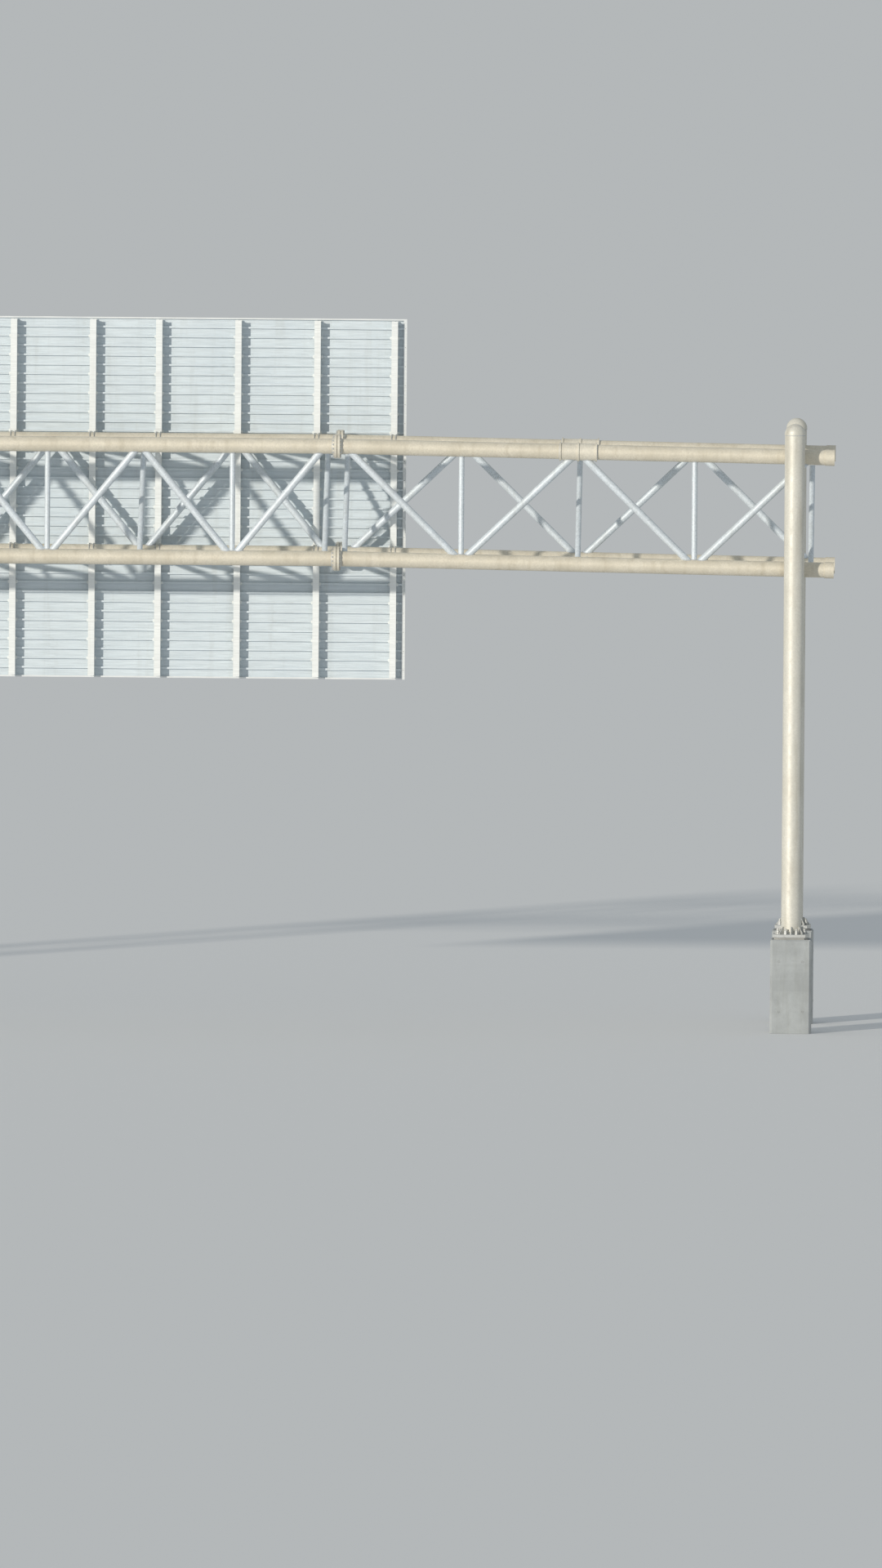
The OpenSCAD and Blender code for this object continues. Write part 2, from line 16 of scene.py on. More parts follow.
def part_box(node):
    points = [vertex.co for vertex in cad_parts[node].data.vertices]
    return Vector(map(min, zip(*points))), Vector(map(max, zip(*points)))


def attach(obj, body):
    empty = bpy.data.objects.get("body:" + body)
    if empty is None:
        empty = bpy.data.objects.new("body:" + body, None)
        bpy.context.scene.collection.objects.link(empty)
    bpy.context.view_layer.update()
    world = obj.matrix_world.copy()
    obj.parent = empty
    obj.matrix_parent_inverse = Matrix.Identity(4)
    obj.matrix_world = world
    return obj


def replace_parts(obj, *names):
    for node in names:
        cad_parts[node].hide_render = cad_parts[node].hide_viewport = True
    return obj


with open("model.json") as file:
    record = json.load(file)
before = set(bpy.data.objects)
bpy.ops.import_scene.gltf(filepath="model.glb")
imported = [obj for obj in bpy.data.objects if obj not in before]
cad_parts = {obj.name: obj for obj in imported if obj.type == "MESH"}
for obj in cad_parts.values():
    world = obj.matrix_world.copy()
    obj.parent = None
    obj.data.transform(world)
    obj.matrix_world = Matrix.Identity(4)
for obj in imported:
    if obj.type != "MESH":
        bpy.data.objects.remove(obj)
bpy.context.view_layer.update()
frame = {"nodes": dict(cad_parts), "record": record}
scene = bpy.context.scene

LEFT, RIGHT = -1, 1
NEAR, FAR = -1, 1
X, Y, Z = Vector((1, 0, 0)), Vector((0, 1, 0)), Vector((0, 0, 1))
CORNERS = [(way, side) for way in (LEFT, RIGHT) for side in (NEAR, FAR)]
LEVELS = ("lower", "upper")
SECTIONS = ("left", "middle", "right")

# Camera: a long lens far off, fitted to points of the photograph

PHOTO_H = 1920
CAMERA_DISTANCE = 400.0
CAMERA_CLIP = (10.0, 4000.0)
CAMERA_AZIMUTH = 1.4
CAMERA_ELEVATION = 3.0
CAMERA_ROLL = 0.42
PIXELS_PER_METRE = 76.52
CAMERA_AIM = Vector((7.813, -0.9, 3.91))


def direction(azimuth, elevation):
    """Unit vector towards a place seen at azimuth degrees right of -Y and elevation degrees up."""
    a, e = math.radians(azimuth), math.radians(elevation)
    return Vector((math.sin(a) * math.cos(e), -math.cos(a) * math.cos(e), math.sin(e)))


def add_camera():
    back = direction(CAMERA_AZIMUTH, CAMERA_ELEVATION)
    data = bpy.data.cameras.new("camera")
    data.lens = data.sensor_width * PIXELS_PER_METRE * CAMERA_DISTANCE / PHOTO_H
    data.clip_start, data.clip_end = CAMERA_CLIP
    camera = bpy.data.objects.new("camera", data)
    scene.collection.objects.link(camera)
    camera.rotation_mode = "QUATERNION"
    roll = Matrix.Rotation(math.radians(CAMERA_ROLL), 3, "Z").to_quaternion()
    camera.rotation_quaternion = (-back).to_track_quat("-Z", "Y") @ roll
    camera.location = CAMERA_AIM + back * CAMERA_DISTANCE
    scene.camera = camera


add_camera()

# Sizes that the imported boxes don't give

CHORD_R = 0.2445 / 2
DIAG_R = 0.114 / 2
STRUT_R = 0.089 / 2
BRACE_R = 0.114 / 2
RAIL_R = 0.140 / 2
RAIL_Z = 2.25
BRACE_FOOT = 0.130
BRACE_TIERS = 2
MID_BAYS, SIDE_BAYS = 8, 4
CAMBER_RISE = 0.115
FLANGE_T = 0.045
HUB_L = 0.030
SLEEVE_L = 0.600
SLEEVE_R = CHORD_R + 0.016
CAP_SKIRT = 0.034
SADDLE_T = 0.034
SADDLE_PLATE_T = 0.018
STRAP_T = 0.014
STRAP_FOOT = 0.062
BEAM_FLANGE_T = 0.014
STUD_W = 0.102
STUD_FLANGE_T = 0.008
PANELS = 19
TRIM_END_W = 0.052

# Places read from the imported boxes

middle_lo, middle_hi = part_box("chords_middle")
splice_x = middle_hi.x
chord_y = middle_hi.y - CHORD_R
chord_z = {"lower": middle_lo.z + CHORD_R - CAMBER_RISE, "upper": middle_hi.z - CHORD_R - CAMBER_RISE}

mid_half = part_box("upper_web_middle")[1].x - STRUT_R
side_web_lo, side_web_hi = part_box("upper_web_right")
side_x0 = side_web_lo.x + STRUT_R
end_x = side_web_hi.x - STRUT_R
sleeve_x = (side_x0 + end_x) / 2
camber_run = end_x - splice_x
incline = {way: Vector((way * camber_run, 0, -CAMBER_RISE)).normalized() for way in (LEFT, RIGHT)}

post_lo, post_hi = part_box("post_right_near")
post_x = (post_lo.x + post_hi.x) / 2
post_y = -(post_lo.y + post_hi.y) / 2
post_r = (post_hi.x - post_lo.x) / 2

sign_lo, sign_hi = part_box("sign_panels")
stud_near_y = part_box("sign_seats")[1].y
# An I-beam has four x values, of which the outer two are its flange edges
stud_edges = sorted({round(v.co.x, 3) for v in frame["nodes"]["sign_support_beams"].data.vertices})
stud_xs = [(a + b) / 2 for a, b in zip(stud_edges[::4], stud_edges[3::4])]


def camber(x):
    """Height of a chord axis at x above its height at the end panel point."""
    return CAMBER_RISE * min(1.0, (end_x - abs(x)) / camber_run)


def chord_point(x, side, level):
    return Vector((x, side * chord_y, chord_z[level] + camber(x)))


# Materials

# The colour sockets of a Mix node go by number, because its other kinds use the same names
MIX_A, MIX_B, MIX_RESULT = 6, 7, 2


class Nodes:
    """A material's node tree, written from its texture coordinates to its shader."""

    def __init__(self, name):
        self.material = bpy.data.materials.new(name)
        self.material.use_nodes = True
        self.tree = self.material.node_tree
        self.shader = self.tree.nodes["Principled BSDF"]
        self.place = self.add("ShaderNodeTexCoord").outputs["Object"]

    def add(self, kind, **values):
        node = self.tree.nodes.new(kind)
        for key, value in values.items():
            setattr(node, key, value)
        return node

    def link(self, source, target):
        self.tree.links.new(source, target)

    def noise(self, scale, detail=4.0, roughness=0.55, stretch=(1, 1, 1)):
        mapping = self.add("ShaderNodeMapping")
        mapping.inputs["Scale"].default_value = stretch
        self.link(self.place, mapping.inputs["Vector"])
        node = self.add("ShaderNodeTexNoise")
        node.inputs["Scale"].default_value = scale
        node.inputs["Detail"].default_value = detail
        node.inputs["Roughness"].default_value = roughness
        self.link(mapping.outputs["Vector"], node.inputs["Vector"])
        return node.outputs["Fac"]

    def cells(self, scale):
        node = self.add("ShaderNodeTexVoronoi")
        node.inputs["Scale"].default_value = scale
        self.link(self.place, node.inputs["Vector"])
        return node

    def ramp(self, value, low, high, low_out=0.0, high_out=1.0):
        node = self.add("ShaderNodeMapRange")
        self.link(value, node.inputs["Value"])
        limits = {"From Min": low, "From Max": high, "To Min": low_out, "To Max": high_out}
        for key, number in limits.items():
            node.inputs[key].default_value = number
        return node.outputs["Result"]

    def mix(self, factor, a, b):
        """Colour a where factor is 0 and b where it is 1. Either may be a socket or three numbers."""
        node = self.add("ShaderNodeMix", data_type="RGBA")
        self.link(factor, node.inputs["Factor"])
        for socket, value in ((node.inputs[MIX_A], a), (node.inputs[MIX_B], b)):
            if hasattr(value, "is_output"):
                self.link(value, socket)
            else:
                socket.default_value = (*value, 1.0)
        return node.outputs[MIX_RESULT]

    def bump(self, height, strength, distance):
        node = self.add("ShaderNodeBump")
        node.inputs["Strength"].default_value = strength
        node.inputs["Distance"].default_value = distance
        self.link(height, node.inputs["Height"])
        self.link(node.outputs["Normal"], self.shader.inputs["Normal"])

    def finish(self, colour, roughness, metallic):
        self.link(colour, self.shader.inputs["Base Color"])
        self.link(roughness, self.shader.inputs["Roughness"])
        self.shader.inputs["Metallic"].default_value = metallic
        return self.material


RUST = (0.34, 0.19, 0.10)
WARM = (1.03, 1.0, 0.94)
CREAM = (1.08, 1.0, 0.87)
COOL = (0.95, 1.0, 1.05)


def shade(colour, factor, tint=(1, 1, 1)):
    return tuple(min(1.0, c * factor * t) for c, t in zip(colour, tint))


def galvanised(name, colour, spangle=0.10, patches=0.48, streaks=0.432, rust=0.0, metallic=0.2):
    """Zinc: crystals about two centimetres wide, dull patches, runs of dirt and a little rust."""
    n = Nodes(name)
    crystals = n.ramp(n.cells(scale=45.0).outputs["Color"], 0.0, 1.0)
    tone = n.mix(crystals, shade(colour, 1 - spangle), shade(colour, 1 + spangle))
    dull = n.ramp(n.noise(scale=1.6, detail=5.0, roughness=0.6), 0.42, 0.70, high_out=patches)
    tone = n.mix(dull, tone, shade(colour, 0.80, (1.02, 1.0, 0.95)))
    dirt = n.noise(scale=9.0, detail=3.0, roughness=0.5, stretch=(1, 1, 0.10))
    runs = n.ramp(dirt, 0.52, 0.78, high_out=streaks)
    tone = n.mix(runs, tone, shade(colour, 0.66, (1.04, 1.0, 0.92)))
    if rust:
        spots = n.ramp(n.noise(scale=5.0, detail=6.0, roughness=0.7), 0.62, 0.74, high_out=rust)
        tone = n.mix(spots, tone, RUST)
    n.bump(n.noise(scale=90.0, detail=3.0), strength=0.25, distance=0.0015)
    return n.finish(tone, n.ramp(n.noise(scale=7.0), 0.3, 0.7, 0.40, 0.62), metallic)


def aluminium(name, colour, streaks=0.40, grain=0.05, metallic=0.30):
    """Extrusions: drawn lines along the sign, chalky patches and runs from the upper edges."""
    n = Nodes(name)
    drawn = n.noise(scale=60.0, detail=3.0, roughness=0.6, stretch=(0.04, 1, 1))
    tone = n.mix(n.ramp(drawn, 0.35, 0.65), shade(colour, 1 - grain), shade(colour, 1 + grain))
    chalk = n.ramp(n.noise(scale=0.9, detail=5.0, roughness=0.6), 0.45, 0.72, high_out=0.45)
    tone = n.mix(chalk, tone, shade(colour, 0.90, (0.97, 1.0, 1.03)))
    runs = n.ramp(n.noise(scale=7.0, stretch=(1, 1, 0.07)), 0.55, 0.80, high_out=streaks)
    tone = n.mix(runs, tone, shade(colour, 0.72, (1.03, 1.0, 0.94)))
    n.bump(drawn, strength=0.15, distance=0.001)
    return n.finish(tone, n.ramp(drawn, 0.3, 0.7, 0.38, 0.55), metallic)


def concrete(name, colour, stain=0.35):
    """Cast concrete: cloudy cement, grit, pores, lift lines, and runs from the upper edge."""
    n = Nodes(name)
    cloud = n.noise(scale=2.6, detail=7.0, roughness=0.65)
    tone = n.mix(n.ramp(cloud, 0.3, 0.7), shade(colour, 0.82), shade(colour, 1.14))
    grit = n.noise(scale=120.0, detail=3.0, roughness=0.6)
    tone = n.mix(n.ramp(grit, 0.45, 0.8, high_out=0.35), tone, shade(colour, 0.70))
    pores = n.ramp(n.cells(scale=38.0).outputs["Distance"], 0.05, 0.11, 0.6, 0.0)
    tone = n.mix(pores, tone, shade(colour, 0.48))
    layers = n.noise(scale=3.5, detail=2.0, roughness=0.5, stretch=(0.05, 0.05, 1))
    tone = n.mix(n.ramp(layers, 0.56, 0.62, high_out=0.30), tone, shade(colour, 0.78))
    dirt = n.noise(scale=8.0, detail=5.0, roughness=0.6, stretch=(1, 1, 0.12))
    tone = n.mix(n.ramp(dirt, 0.50, 0.74, high_out=stain), tone, shade(colour, 0.60, (1.05, 1.0, 0.90)))
    n.bump(grit, strength=0.5, distance=0.003)
    return n.finish(tone, n.ramp(cloud, 0.3, 0.7, 0.82, 0.95), 0.0)


colours = {m["slot"]: tuple(m["base_color"]) for m in frame["record"]["materials"]}
finishes = {
    "concrete": concrete("cast_concrete", shade(colours["concrete"], 0.84, COOL)),
    "grout": concrete("grout", colours["grout"], stain=0.2),
    "base_steel": galvanised("base_zinc", colours["base_steel"], rust=0.5, metallic=0.3),
    "post_steel": galvanised("post_zinc", shade(colours["post_steel"], 1.08, WARM),
                             spangle=0.07, patches=0.42, streaks=0.624, rust=0.12),
    "bracing_steel": galvanised("bracing_zinc", colours["bracing_steel"]),
    "beam_steel": galvanised("beam_zinc", colours["beam_steel"], rust=0.2),
    "fitting_steel": galvanised("fitting_zinc", shade(colours["fitting_steel"], 1.12, CREAM),
                                patches=0.60, streaks=0.48, rust=0.25),
    "chord_steel": galvanised("chord_zinc", shade(colours["chord_steel"], 1.07, CREAM),
                              spangle=0.08, patches=0.60, streaks=0.528, rust=0.14),
    "web_steel": galvanised("web_zinc", shade(colours["web_steel"], 1.10, COOL),
                            spangle=0.12, patches=0.36, streaks=0.336, rust=0.06),
    "panel_aluminium": aluminium("panel_metal", shade(colours["panel_aluminium"], 1.0, COOL)),
    "trim_aluminium": aluminium("trim_metal", colours["trim_aluminium"], streaks=0.25),
    "support_aluminium": aluminium("support_metal", shade(colours["support_aluminium"], 1.12), streaks=0.30),
}
weld_metal = galvanised("weld_metal", shade(colours["web_steel"], 0.86),
                        spangle=0.05, patches=0.30, streaks=0.24, rust=0.25)
bolt_metal = galvanised("bolt_metal", shade(colours["fitting_steel"], 0.84),
                        spangle=0.08, patches=0.60, streaks=0.24, rust=0.35, metallic=0.45)

for row in frame["record"]["subparts"]:
    data = frame["nodes"][row["node"]].data
    data.materials.clear()
    data.materials.append(finishes[row["material_slot"]])

# Mesh tools

BAR_SIDES = 24
RING_SIDES = 48
UPRIGHT = 0.9  # an axis with more z than this counts as upright
EMBED = 0.002  # a bar's end lies this deep in the pipe that it meets
BEAD = 0.011
BEAD_BULGE = 0.62  # the bead's middle stands this many sizes of it off both pipes
# Height over the pipe and shift along it of the corners of a ring bead, in sizes of the bead
RING_CORNERS = ((0.0, -1.0), (0.55, -0.4), (0.55, 0.4), (0.0, 1.0))
# Parts of a bolt, in sizes of its thread
WASHER_R, WASHER_T, WASHER_SIDES = 0.95, 0.15, 16
NUT_R, NUT_T, NUT_SIDES = 0.87, 0.65, 6
NUT_TURN, NUT_CHAMFER = 0.3, 0.08
THREAD_R, THREAD_SIDES, THREAD_CHAMFER = 0.5, 10, 0.06


class Cylinder:
    """An endless pipe that bars are coped to, given by a point on its axis and its direction."""

    def __init__(self, point, axis, radius):
        self.point, self.axis, self.radius = Vector(point), axis.normalized(), radius

    def across(self, v):
        return v - v.dot(self.axis) * self.axis

    def meet(self, p, d):
        """Length along d from p, which is inside the pipe, to the pipe's wall."""
        offset, run = self.across(p - self.point), self.across(d)
        a, b, c = run.dot(run), offset.dot(run), offset.dot(offset) - self.radius**2
        return (-b + math.sqrt(b * b - a * c)) / a

    def normal(self, p):
        return self.across(p - self.point).normalized()


def make_object(name, bm, material, smooth=True):
    bmesh.ops.recalc_face_normals(bm, faces=bm.faces)
    for face in bm.faces:
        face.smooth = smooth
    mesh = bpy.data.meshes.new(name)
    bm.to_mesh(mesh)
    bm.free()
    mesh.materials.append(material)
    made = bpy.data.objects.new(name, mesh)
    scene.collection.objects.link(made)
    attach(made, "root")
    return made


def side_axes(axis):
    helper = Z if abs(axis.z) < UPRIGHT else X
    u = axis.cross(helper).normalized()
    return u, axis.cross(u).normalized()


def outward(axis, sides, turn=0.0):
    """Unit vectors square to axis, one for each side of a round piece."""
    u, v = side_axes(axis)
    angles = [turn + 2 * math.pi * i / sides for i in range(sides)]
    return [math.cos(t) * u + math.sin(t) * v for t in angles]


def bridge(bm, a, b):
    """Quads between two closed rows of vertices of the same length."""
    for i in range(len(a)):
        j = (i + 1) % len(a)
        bm.faces.new((a[i], a[j], b[j], b[i]))


def bridge_all(bm, rows):
    for a, b in zip(rows, rows[1:]):
        bridge(bm, a, b)


def close_ends(bm, rows):
    bm.faces.new(rows[-1])
    bm.faces.new(list(reversed(rows[0])))


def add_bar(bm, beads, start, end, radius):
    """Add to bm a round bar from one pipe's axis point to the other's, coped to both pipes, and
    its two weld beads to beads."""
    along = (end.point - start.point).normalized()
    rows = []
    for pipe, way in ((start, along), (end, -along)):
        ring, bead = [], [[], [], []]
        for out in outward(along, BAR_SIDES):
            edge = pipe.point + out * radius
            foot = edge + way * pipe.meet(edge, way)
            normal = pipe.normal(foot)
            slide = (out - out.dot(normal) * normal).normalized()
            ring.append(bm.verts.new(foot - way * EMBED))
            bead[0].append(beads.verts.new(foot + way * BEAD))
            bead[1].append(beads.verts.new(foot + (way + slide) * BEAD * BEAD_BULGE))
            bead[2].append(beads.verts.new(foot + slide * BEAD))
        bridge_all(beads, bead)
        rows.append(ring)
    bridge_all(bm, rows)


def add_ring(bm, centre, axis, radius, bead, sides=RING_SIDES):
    """A weld bead round a pipe of this radius."""
    outs = outward(axis, sides)
    rows = []
    for high, shift in RING_CORNERS:
        middle, r = centre + axis * shift * bead, radius + high * bead
        rows.append([bm.verts.new(middle + out * r) for out in outs])
    bridge_all(bm, rows)


def add_prism(bm, centre, axis, radius, height, sides, turn=0.0, chamfer=0.0):
    """A closed prism from centre along axis, with its far edge chamfered."""
    levels = [(radius, 0.0), (radius, height - chamfer)]
    if chamfer:
        levels.append((radius - chamfer, height))
    outs = outward(axis, sides, turn)
    rows = [[bm.verts.new(centre + out * r + axis * h) for out in outs] for r, h in levels]
    bridge_all(bm, rows)
    close_ends(bm, rows)


def add_bolt(bm, centre, axis, size, stick=0.0):
    """A washer and a hexagon head or nut of thread size `size`, with `stick` of thread past it."""
    add_prism(bm, centre, axis, WASHER_R * size, WASHER_T * size, WASHER_SIDES)
    nut = centre + axis * WASHER_T * size
    add_prism(bm, nut, axis, NUT_R * size, NUT_T * size, NUT_SIDES, NUT_TURN, NUT_CHAMFER * size)
    if stick:
        thread = nut + axis * NUT_T * size
        add_prism(bm, thread, axis, THREAD_R * size, stick, THREAD_SIDES, 0.0, THREAD_CHAMFER * size)


def add_tube(bm, points, radius, sides=8):
    """A round rod along a row of points."""
    rows = []
    for i, p in enumerate(points):
        before, after = points[max(i - 1, 0)], points[min(i + 1, len(points) - 1)]
        along = (after - before).normalized()
        rows.append([bm.verts.new(p + out * radius) for out in outward(along, sides)])
    bridge_all(bm, rows)
    close_ends(bm, rows)


def add_block(bm, lo, hi):
    size = [abs(b - a) for a, b in zip(lo, hi)]
    matrix = Matrix.Translation((Vector(lo) + Vector(hi)) / 2) @ Matrix.Diagonal((*size, 1.0))
    bmesh.ops.create_cube(bm, size=1.0, matrix=matrix)


# Webs of the truss: each bar runs between two joints

SAME_PLACE = 0.01  # panel points within this distance are the same one


def joint(x, side, level):
    """The chord at x as a pipe round its axis point: level in the middle, inclined at an end,
    and with its sleeve at the middle panel point of an upper chord."""
    axis = X if abs(x) < splice_x else incline[LEFT if x < 0 else RIGHT]
    sleeved = level == "upper" and abs(abs(x) - sleeve_x) < SAME_PLACE
    return Cylinder(chord_point(x, side, level), axis, SLEEVE_R if sleeved else CHORD_R)


def panel_xs(section):
    """Places of the panel points, counted from the splice outwards at an end."""
    if section == "middle":
        return [mid_half * (2 * i / MID_BAYS - 1) for i in range(MID_BAYS + 1)]
    way = RIGHT if section == "right" else LEFT
    return [way * (side_x0 + (end_x - side_x0) * i / SIDE_BAYS) for i in range(SIDE_BAYS + 1)]


def side_bars(xs, side):
    """Diagonals of a side face, and the verticals of the near one at its odd panel points."""
    bars = []
    for i in range(len(xs) - 1):
        falls = (i % 2 == 0) == (side == NEAR)
        a, b = ("upper", "lower") if falls else ("lower", "upper")
        bars.append((joint(xs[i], side, a), joint(xs[i + 1], side, b), DIAG_R))
    if side == NEAR:
        bars += [(joint(x, side, "lower"), joint(x, side, "upper"), STRUT_R) for x in xs[1::2]]
    return bars


def flat_bars(xs, level):
    """Struts and zigzag diagonals of an upper or lower face."""
    bars = [(joint(x, NEAR, level), joint(x, FAR, level), STRUT_R) for x in xs]
    side = NEAR if level == "upper" else FAR
    for a, b in zip(xs, xs[1:]):
        bars.append((joint(a, side, level), joint(b, -side, level), STRUT_R))
        side = -side
    return bars


def cross_bars(xs):
    return [(joint(x, NEAR, "lower"), joint(x, FAR, "upper"), STRUT_R) for x in xs[::2]]


def replace_with_pipes(node, bars, beads, slot):
    bm = bmesh.new()
    for start, end, radius in bars:
        add_bar(bm, beads, start, end, radius)
    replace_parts(make_object(node + "_pipes", bm, finishes[slot]), node)


def brace_bars(way):
    """Two crossed tiers of pipe, each over a horizontal one, between the posts of one end."""
    tier = (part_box("seat_beams")[0].z + RAIL_R - RAIL_Z) / BRACE_TIERS
    low = RAIL_R + BRACE_FOOT
    over = post_r * (tier - 2 * low) / (2 * (post_y - post_r))
    bars = []
    for i in range(BRACE_TIERS):
        z = RAIL_Z + i * tier
        z1, z2 = z + low - over, z + tier - low + over
        for radius, za, zb in ((RAIL_R, z, z), (BRACE_R, z1, z2), (BRACE_R, z2, z1)):
            bars.append((Cylinder((way * post_x, -post_y, za), Z, post_r),
                         Cylinder((way * post_x, post_y, zb), Z, post_r), radius))
    return bars


def build_bars():
    beads = bmesh.new()
    for section in SECTIONS:
        xs = panel_xs(section)
        for name, bars in (("near_web", side_bars(xs, NEAR)), ("far_web", side_bars(xs, FAR)),
                           ("upper_web", flat_bars(xs, "upper")), ("lower_web", flat_bars(xs, "lower")),
                           ("cross_braces", cross_bars(xs))):
            replace_with_pipes(f"{name}_{section}", bars, beads, "web_steel")
    replace_with_pipes("post_bracing_left", brace_bars(LEFT), beads, "bracing_steel")
    replace_with_pipes("post_bracing_right", brace_bars(RIGHT), beads, "bracing_steel")
    make_object("bar_welds", beads, weld_metal)


# Weld rings at the flanges, sleeves, post feet and caps

RING_BEAD = 0.009
FOOT_BEAD = 0.013


def splice_point(way, side, level):
    return Vector((way * splice_x, side * chord_y, chord_z[level] + CAMBER_RISE))


def build_weld_rings():
    rings = bmesh.new()
    for way, side in CORNERS:
        for level in LEVELS:
            at = splice_point(way, side, level)
            add_ring(rings, at - X * way * (FLANGE_T + HUB_L), X, CHORD_R, RING_BEAD)
            add_ring(rings, at + incline[way] * (FLANGE_T + HUB_L), incline[way], CHORD_R, RING_BEAD)
        sleeve = chord_point(way * sleeve_x, side, "upper")
        for end in (LEFT, RIGHT):
            add_ring(rings, sleeve + incline[way] * end * SLEEVE_L / 2, incline[way], CHORD_R, RING_BEAD)
        post = Vector((way * post_x, side * post_y, 0))
        add_ring(rings, post + Z * post_lo.z, Z, post_r, FOOT_BEAD)
        add_ring(rings, post + Z * (post_hi.z - CAP_SKIRT), Z, post_r, RING_BEAD)
    make_object("pipe_welds", rings, weld_metal)


# Bolts

FLANGE_BOLT = 0.020
FLANGE_BOLTS = 16
FLANGE_BOLT_R = 0.170
FLANGE_BOLT_STICK = 0.010
SHANK_SIDES = 8
STRAP_BOLT = 0.024
STRAP_BOLT_STICK = 0.012
STRAP_CLEAR = 0.0003
ANCHOR = 0.036
ANCHOR_R = 0.228
ANCHORS = 8
ANCHOR_STICK = 0.035
LOCK_NUT = 0.96 * ANCHOR


def build_flange_bolts():
    bolts = bmesh.new()
    for way, side in CORNERS:
        for level in LEVELS:
            for out in outward(X, FLANGE_BOLTS, math.pi / FLANGE_BOLTS):
                place = splice_point(way, side, level) + out * FLANGE_BOLT_R
                add_bolt(bolts, place - X * way * FLANGE_T, -X * way, FLANGE_BOLT, FLANGE_BOLT_STICK)
                add_bolt(bolts, place + X * way * FLANGE_T, X * way, FLANGE_BOLT)
                add_prism(bolts, place - X * FLANGE_T, X, FLANGE_BOLT / 2, 2 * FLANGE_T, SHANK_SIDES)
    make_object("flange_bolts", bolts, bolt_metal, smooth=False)


def build_strap_bolts():
    bolts = bmesh.new()
    reach = CHORD_R + STRAP_CLEAR + STRAP_T + STRAP_FOOT / 2
    foot_depth = CHORD_R + SADDLE_T - SADDLE_PLATE_T - STRAP_T
    beam_depth = CHORD_R + SADDLE_T + BEAM_FLANGE_T
    for way, side in CORNERS:
        for level, up in (("lower", Z), ("upper", -Z)):
            axis = chord_point(way * post_x, side, level)
            for out in (-Y, Y):
                add_bolt(bolts, axis + out * reach - up * foot_depth, up, STRAP_BOLT)
                add_bolt(bolts, axis + out * reach - up * beam_depth, -up, STRAP_BOLT, STRAP_BOLT_STICK)
    make_object("strap_bolts", bolts, bolt_metal, smooth=False)


def build_anchor_nuts():
    """A washer, a nut and a lock nut on each anchor rod."""
    bolts = bmesh.new()
    for way, side in CORNERS:
        foot = Vector((way * post_x, side * post_y, post_lo.z))
        for out in outward(Z, ANCHORS, math.pi / ANCHORS):
            place = foot + out * ANCHOR_R
            add_bolt(bolts, place, Z, ANCHOR)
            add_bolt(bolts, place + Z * (WASHER_T + NUT_T) * ANCHOR, Z, LOCK_NUT, ANCHOR_STICK)
    make_object("anchor_nuts", bolts, bolt_metal, smooth=False)


# Sign fittings

U_BOLT = 0.016
U_BOLT_X = 0.034
U_BOLT_STEPS = 14
U_BOLT_STICK = 0.030
U_BOLT_CLEAR = 0.001
U_BOLT_ROOM = 0.12
CLIP_W, CLIP_H, CLIP_T = 0.036, 0.045, 0.006
CLIP_GRIP = 0.010
CLIP_BOLT = 0.010
RIVET_R, RIVET_H, RIVET_CHAMFER = 0.008, 0.0028, 0.0016
RIVET_SIDES = 10
RIVET_PITCH = 0.30


def build_u_bolts():
    """Two U-bolts round a far chord at each support beam, with nuts on the beam's near flange.
    A beam at a joint of the web has its seat alone, because the bars leave no room."""
    bolts = bmesh.new()
    joint_xs = [x for section in SECTIONS for x in panel_xs(section)]
    r = CHORD_R + U_BOLT_CLEAR + U_BOLT / 2
    nut_y = stud_near_y + STUD_FLANGE_T
    for x in stud_xs:
        if min(abs(x - joint_x) for joint_x in joint_xs) < U_BOLT_ROOM:
            continue
        for level in LEVELS:
            for shift in (-U_BOLT_X, U_BOLT_X):
                axis = chord_point(x, FAR, level) + X * shift
                leg = Y * (nut_y + U_BOLT_STICK - axis.y)
                bend = [math.pi / 2 + math.pi * i / U_BOLT_STEPS for i in range(U_BOLT_STEPS + 1)]
                arc = [axis + r * (math.cos(t) * Y + math.sin(t) * Z) for t in bend]
                add_tube(bolts, [axis + Z * r + leg, *arc, axis - Z * r + leg], U_BOLT / 2)
                for z in (axis.z + r, axis.z - r):
                    add_bolt(bolts, Vector((axis.x, nut_y, z)), Y, U_BOLT)
    make_object("chord_u_bolts", bolts, bolt_metal)


def build_panel_clips():
    """Stepped clips that hold the panels to the far flange of each support beam."""
    clips = bmesh.new()
    panel_h = (sign_hi.z - sign_lo.z) / PANELS
    back = sign_lo.y
    for x in stud_xs:
        for i in range(1, PANELS):
            z0, z1 = (sign_lo.z + i * panel_h + half for half in (-CLIP_H / 2, CLIP_H / 2))
            for side in (LEFT, RIGHT):
                edge = x + side * STUD_W / 2
                inner, outer = edge - side * CLIP_GRIP, edge + side * (CLIP_W - CLIP_GRIP)
                step_y = back - STUD_FLANGE_T
                add_block(clips, (edge, step_y, z0), (outer, back, z1))
                add_block(clips, (inner, step_y - CLIP_T, z0), (outer, step_y, z1))
                head = Vector(((edge + outer) / 2, step_y - CLIP_T, (z0 + z1) / 2))
                add_bolt(clips, head, -Y, CLIP_BOLT)
    make_object("panel_clips", clips, finishes["support_aluminium"], smooth=False)


def build_trim_rivets():
    rivets = bmesh.new()
    trim_lo, trim_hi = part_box("sign_edge_trim")
    height = trim_hi.z - trim_lo.z
    rows = int(height / RIVET_PITCH)
    for way in (LEFT, RIGHT):
        x = way * (trim_hi.x - TRIM_END_W / 2)
        for i in range(rows):
            place = Vector((x, trim_lo.y, trim_lo.z + (i + 0.5) * height / rows))
            add_prism(rivets, place, -Y, RIVET_R, RIVET_H, RIVET_SIDES, 0.0, RIVET_CHAMFER)
    make_object("trim_rivets", rivets, bolt_metal)


# Rings that the form ties left on the pedestals

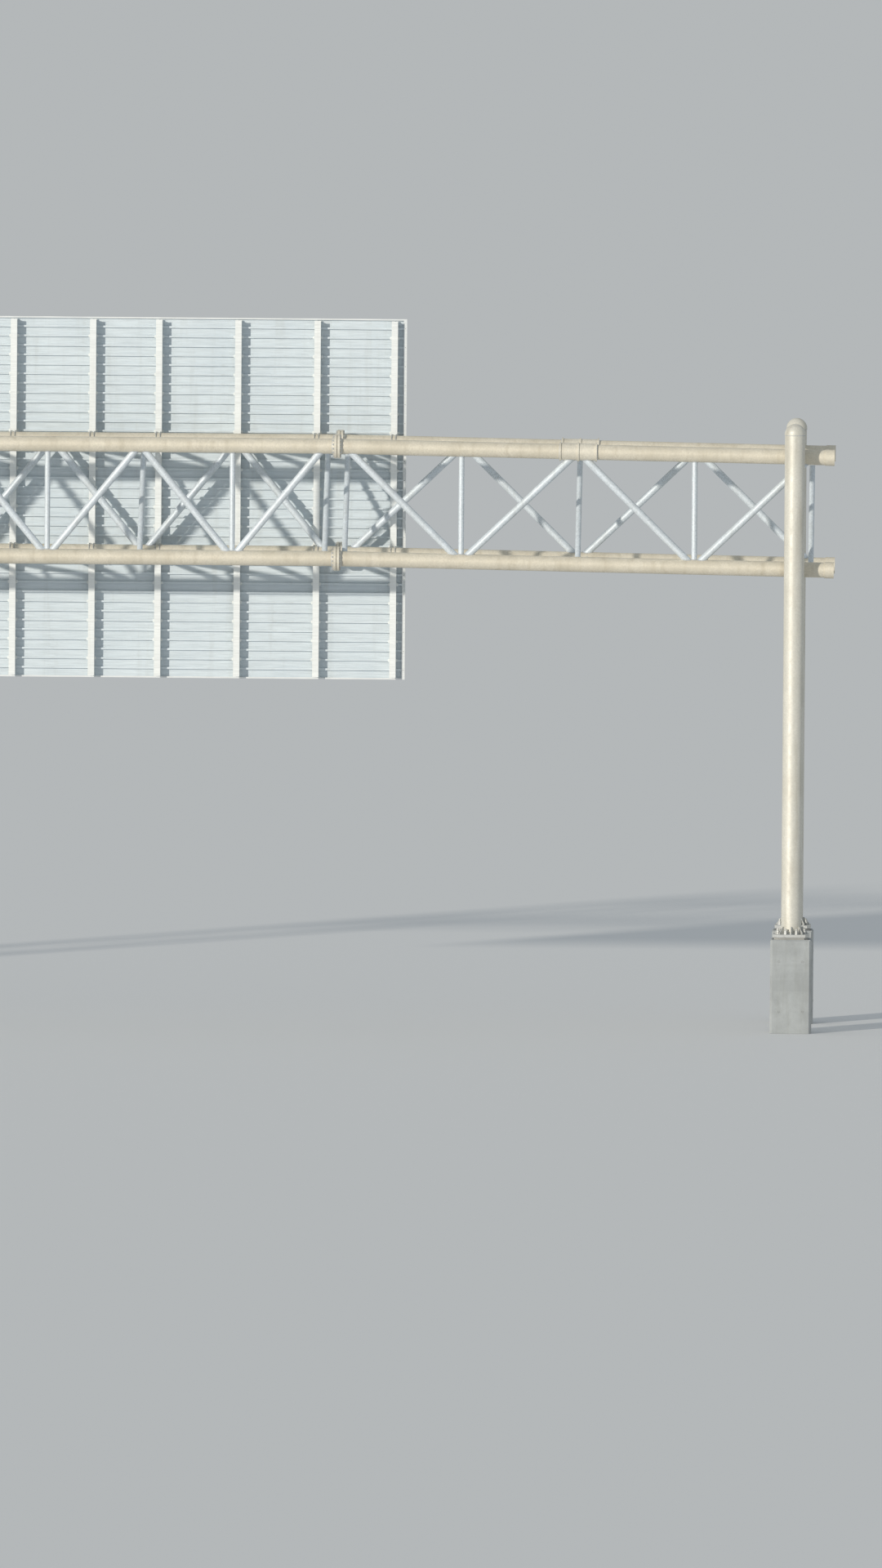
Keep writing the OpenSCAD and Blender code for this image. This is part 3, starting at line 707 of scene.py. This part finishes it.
TIE_R = 0.016
TIE_RIM = 0.0035
TIE_SIDES = 20
TIE_Z = (0.35, 1.15)
TIE_ACROSS = 0.19


def build_tie_rings():
    ties = bmesh.new()
    for way, side in CORNERS:
        lo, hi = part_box(f"pedestal_{'left' if way == LEFT else 'right'}_{'near' if side == NEAR else 'far'}")
        for out in (X, -X, Y, -Y):
            for z in TIE_Z:
                for shift in (-TIE_ACROSS, TIE_ACROSS):
                    axis = Vector(((lo.x + hi.x) / 2, (lo.y + hi.y) / 2, z))
                    place = axis + out * (hi.x - lo.x) / 2 + Z.cross(out) * shift
                    add_ring(ties, place, out, TIE_R, TIE_RIM, TIE_SIDES)
    make_object("form_tie_rings", ties, finishes["grout"])


build_bars()
build_weld_rings()
build_flange_bolts()
build_strap_bolts()
build_anchor_nuts()
build_u_bolts()
build_panel_clips()
build_trim_rivets()
build_tie_rings()

# Floor and light: a low warm sun from the front left, as in the photograph, and a pale sky

SUN_AZIMUTH = -35.0
SUN_HEIGHT = 11.9
SUN_SIZE = 2.0
SUN = Vector((1.0, 0.94, 0.84)) * 2.45
SKY = Vector((0.86, 0.94, 1.0)) * 0.43
FLOOR_ALBEDO = Vector((0.86, 0.86, 0.86))
FLOOR_R = 1400.0
FLOOR_SIDES = 96
FLOOR_DROP = 0.002
FADE_START, FADE_END = 75.0, 240.0

floor_light = SKY + SUN * math.sin(math.radians(SUN_HEIGHT)) / math.pi
floor_tone = (*(a * b for a, b in zip(FLOOR_ALBEDO, floor_light)), 1.0)


def build_floor():
    """A pale floor: it takes the shadow near the gantry and meets the backdrop's tone far off."""
    bm = bmesh.new()
    bmesh.ops.create_circle(bm, cap_ends=True, segments=FLOOR_SIDES, radius=FLOOR_R)
    mesh = bpy.data.meshes.new("floor")
    bm.to_mesh(mesh)
    bm.free()
    floor = bpy.data.objects.new("floor", mesh)
    floor.location.z = -FLOOR_DROP
    scene.collection.objects.link(floor)
    n = Nodes("floor")
    n.shader.inputs["Base Color"].default_value = (*FLOOR_ALBEDO, 1.0)
    n.shader.inputs["Roughness"].default_value = 1.0
    n.shader.inputs["Specular IOR Level"].default_value = 0.0
    glow = n.add("ShaderNodeEmission")
    glow.inputs["Color"].default_value = floor_tone
    distance = n.add("ShaderNodeVectorMath", operation="LENGTH")
    n.link(n.place, distance.inputs[0])
    blend = n.add("ShaderNodeMixShader")
    n.link(n.ramp(distance.outputs["Value"], FADE_START, FADE_END), blend.inputs["Fac"])
    n.link(n.shader.outputs["BSDF"], blend.inputs[1])
    n.link(glow.outputs["Emission"], blend.inputs[2])
    n.link(blend.outputs["Shader"], n.tree.nodes["Material Output"].inputs["Surface"])
    mesh.materials.append(n.material)


def build_sun():
    data = bpy.data.lights.new("sun", "SUN")
    data.energy = max(SUN)
    data.color = SUN / data.energy
    data.angle = math.radians(SUN_SIZE)
    sun = bpy.data.objects.new("sun", data)
    scene.collection.objects.link(sun)
    sun.rotation_mode = "QUATERNION"
    sun.rotation_quaternion = (-direction(SUN_AZIMUTH, SUN_HEIGHT)).to_track_quat("-Z", "Y")


def build_world():
    """Sky light on the object, and the floor's tone where the camera or a reflection looks."""
    world = bpy.data.worlds.new("sky")
    scene.world = world
    world.use_nodes = True
    tree = world.node_tree
    tree.nodes.clear()

    def background(colour):
        node = tree.nodes.new("ShaderNodeBackground")
        node.inputs["Color"].default_value = colour
        return node.outputs["Background"]

    def larger(a, b):
        node = tree.nodes.new("ShaderNodeMath")
        node.operation = "MAXIMUM"
        tree.links.new(a, node.inputs[0])
        tree.links.new(b, node.inputs[1])
        return node.outputs["Value"]

    path = tree.nodes.new("ShaderNodeLightPath").outputs
    seen = larger(path["Is Camera Ray"], larger(path["Is Glossy Ray"], path["Is Transmission Ray"]))
    blend = tree.nodes.new("ShaderNodeMixShader")
    tree.links.new(seen, blend.inputs["Fac"])
    tree.links.new(background((*SKY, 1.0)), blend.inputs[1])
    tree.links.new(background(floor_tone), blend.inputs[2])
    out = tree.nodes.new("ShaderNodeOutputWorld")
    tree.links.new(blend.outputs["Shader"], out.inputs["Surface"])


build_floor()
build_sun()
build_world()
scene.view_settings.view_transform = "Standard"
